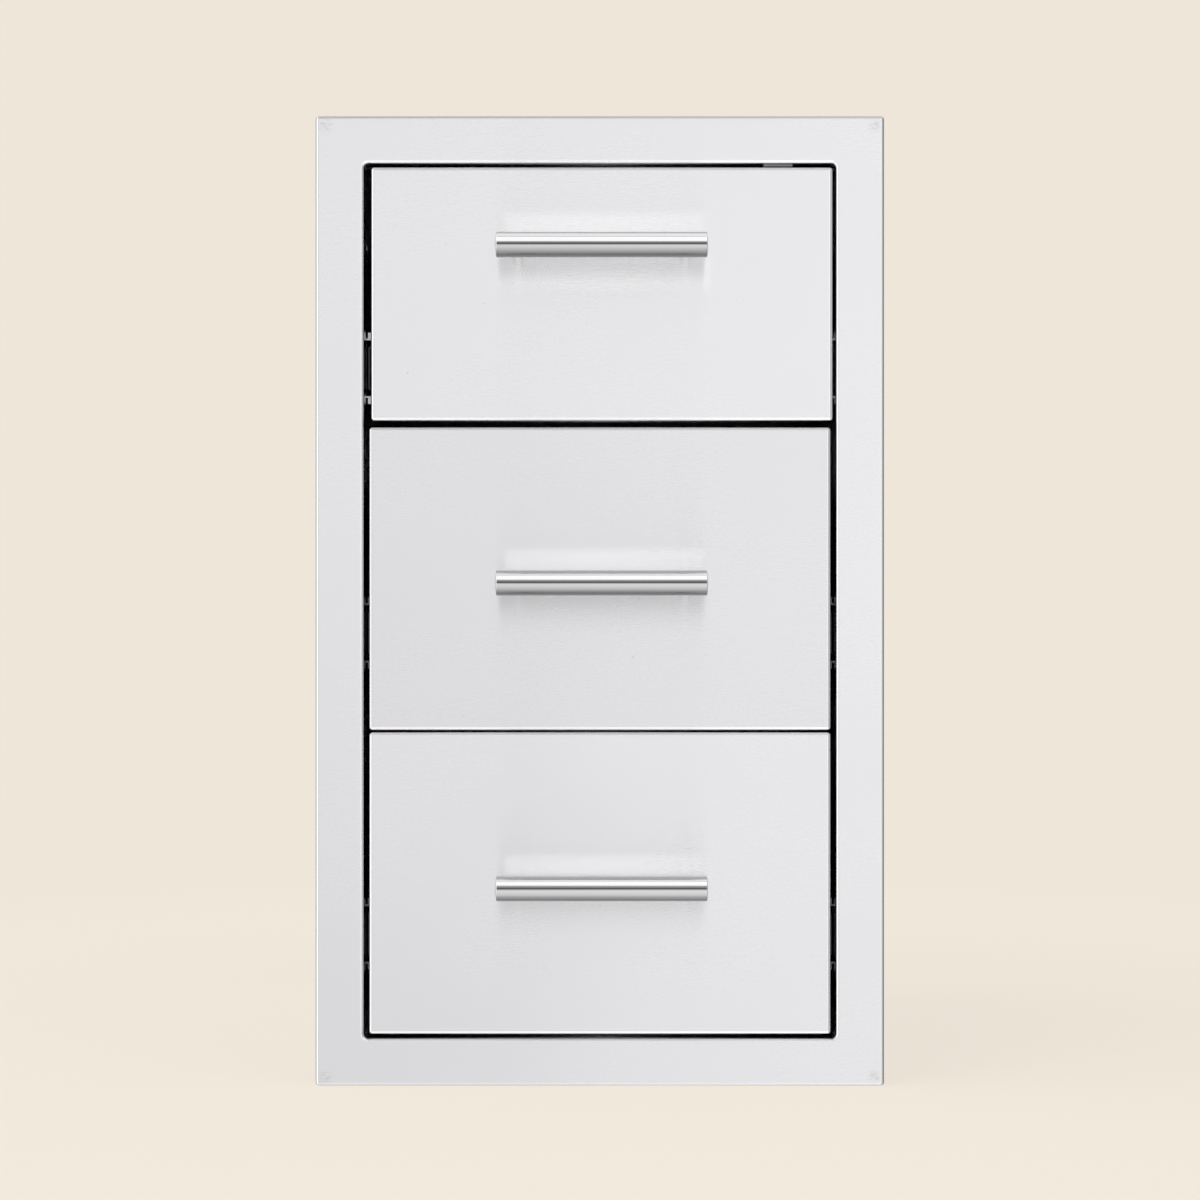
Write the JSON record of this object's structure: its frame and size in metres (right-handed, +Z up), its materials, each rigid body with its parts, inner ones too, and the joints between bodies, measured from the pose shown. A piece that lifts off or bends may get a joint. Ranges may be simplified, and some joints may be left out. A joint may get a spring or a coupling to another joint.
{
  "type": "outdoor kitchen drawer unit",
  "caption": "Built-in stainless steel drawer unit with a raised face frame, flush drawers on full-extension ball-bearing slides and round bar handles.",
  "frame": {"origin": "middle of the bottom strip of the face frame's rear lip, on the wall plane that the lip bears on", "axes": "+X to the right of someone facing the drawers, +Y back into the wall, +Z up; the drawers open along -Y"},
  "size_m": [0.4318, 0.5682, 0.7366],
  "materials": {
    "brushed_front": "fine horizontal brushed grain, satin",
    "case_sheet": "mill-finished stainless sheet",
    "handle_bar": "smooth satin polish",
    "slide_zinc": "bright zinc plated, roll formed",
    "ball_cage": "plated steel strip with bright balls",
    "pad_rubber": "matt grey"
  },
  "bodies": {
    "cabinet": {"face_frame": "brushed_front", "bumper_pad": "pad_rubber", "side_panel_right": "case_sheet", "side_panel_left": "case_sheet", "top_panel": "case_sheet", "bottom_panel": "case_sheet", "back_panel": "case_sheet", "top_case_rail_right": "slide_zinc", "top_case_rail_left": "slide_zinc", "middle_case_rail_right": "slide_zinc", "middle_case_rail_left": "slide_zinc", "bottom_case_rail_right": "slide_zinc", "bottom_case_rail_left": "slide_zinc"},
    "top_drawer": {"top_front_panel": "brushed_front", "top_front_liner": "case_sheet", "top_tub": "case_sheet", "top_tub_floor": "case_sheet", "top_handle_bar": "handle_bar", "top_handle_post_left": "handle_bar", "top_handle_post_right": "handle_bar", "top_tub_rail_right": "slide_zinc", "top_tub_rail_left": "slide_zinc"},
    "top_centre_rails": {"top_centre_rail_right": "slide_zinc", "top_centre_rail_left": "slide_zinc"},
    "top_outer_cages": {"top_outer_cage_right": "ball_cage", "top_outer_cage_left": "ball_cage"},
    "top_inner_cages": {"top_inner_cage_right": "ball_cage", "top_inner_cage_left": "ball_cage"},
    "middle_drawer": {"middle_front_panel": "brushed_front", "middle_front_liner": "case_sheet", "middle_tub": "case_sheet", "middle_tub_floor": "case_sheet", "middle_handle_bar": "handle_bar", "middle_handle_post_left": "handle_bar", "middle_handle_post_right": "handle_bar", "middle_tub_rail_right": "slide_zinc", "middle_tub_rail_left": "slide_zinc"},
    "middle_centre_rails": {"middle_centre_rail_right": "slide_zinc", "middle_centre_rail_left": "slide_zinc"},
    "middle_outer_cages": {"middle_outer_cage_right": "ball_cage", "middle_outer_cage_left": "ball_cage"},
    "middle_inner_cages": {"middle_inner_cage_right": "ball_cage", "middle_inner_cage_left": "ball_cage"},
    "bottom_drawer": {"bottom_front_panel": "brushed_front", "bottom_front_liner": "case_sheet", "bottom_tub": "case_sheet", "bottom_tub_floor": "case_sheet", "bottom_handle_bar": "handle_bar", "bottom_handle_post_left": "handle_bar", "bottom_handle_post_right": "handle_bar", "bottom_tub_rail_right": "slide_zinc", "bottom_tub_rail_left": "slide_zinc"},
    "bottom_centre_rails": {"bottom_centre_rail_right": "slide_zinc", "bottom_centre_rail_left": "slide_zinc"},
    "bottom_outer_cages": {"bottom_outer_cage_right": "ball_cage", "bottom_outer_cage_left": "ball_cage"},
    "bottom_inner_cages": {"bottom_inner_cage_right": "ball_cage", "bottom_inner_cage_left": "ball_cage"}
  },
  "joints": [
    {"name": "top_drawer_slide", "type": "slide", "parent": "cabinet", "child": "top_drawer", "axis": [0, -1, 0], "range_m": [0, 0.45]},
    {"name": "top_centre_rail_slide", "type": "slide", "parent": "cabinet", "child": "top_centre_rails", "axis": [0, -1, 0], "range_m": [0, 0.23]},
    {"name": "top_outer_cage_roll", "type": "slide", "parent": "cabinet", "child": "top_outer_cages", "axis": [0, -1, 0], "range_m": [0, 0.115]},
    {"name": "top_inner_cage_roll", "type": "slide", "parent": "cabinet", "child": "top_inner_cages", "axis": [0, -1, 0], "range_m": [0, 0.345]},
    {"name": "middle_drawer_slide", "type": "slide", "parent": "cabinet", "child": "middle_drawer", "axis": [0, -1, 0], "range_m": [0, 0.45]},
    {"name": "middle_centre_rail_slide", "type": "slide", "parent": "cabinet", "child": "middle_centre_rails", "axis": [0, -1, 0], "range_m": [0, 0.23]},
    {"name": "middle_outer_cage_roll", "type": "slide", "parent": "cabinet", "child": "middle_outer_cages", "axis": [0, -1, 0], "range_m": [0, 0.115]},
    {"name": "middle_inner_cage_roll", "type": "slide", "parent": "cabinet", "child": "middle_inner_cages", "axis": [0, -1, 0], "range_m": [0, 0.345]},
    {"name": "bottom_drawer_slide", "type": "slide", "parent": "cabinet", "child": "bottom_drawer", "axis": [0, -1, 0], "range_m": [0, 0.45]},
    {"name": "bottom_centre_rail_slide", "type": "slide", "parent": "cabinet", "child": "bottom_centre_rails", "axis": [0, -1, 0], "range_m": [0, 0.23]},
    {"name": "bottom_outer_cage_roll", "type": "slide", "parent": "cabinet", "child": "bottom_outer_cages", "axis": [0, -1, 0], "range_m": [0, 0.115]},
    {"name": "bottom_inner_cage_roll", "type": "slide", "parent": "cabinet", "child": "bottom_inner_cages", "axis": [0, -1, 0], "range_m": [0, 0.345]}
  ],
  "couplings": [
    {"joint": "top_centre_rail_slide", "follows": "top_drawer_slide", "ratio": 0.5},
    {"joint": "top_outer_cage_roll", "follows": "top_drawer_slide", "ratio": 0.25},
    {"joint": "top_inner_cage_roll", "follows": "top_drawer_slide", "ratio": 0.75},
    {"joint": "middle_centre_rail_slide", "follows": "middle_drawer_slide", "ratio": 0.5},
    {"joint": "middle_outer_cage_roll", "follows": "middle_drawer_slide", "ratio": 0.25},
    {"joint": "middle_inner_cage_roll", "follows": "middle_drawer_slide", "ratio": 0.75},
    {"joint": "bottom_centre_rail_slide", "follows": "bottom_drawer_slide", "ratio": 0.5},
    {"joint": "bottom_outer_cage_roll", "follows": "bottom_drawer_slide", "ratio": 0.25},
    {"joint": "bottom_inner_cage_roll", "follows": "bottom_drawer_slide", "ratio": 0.75}
  ]
}
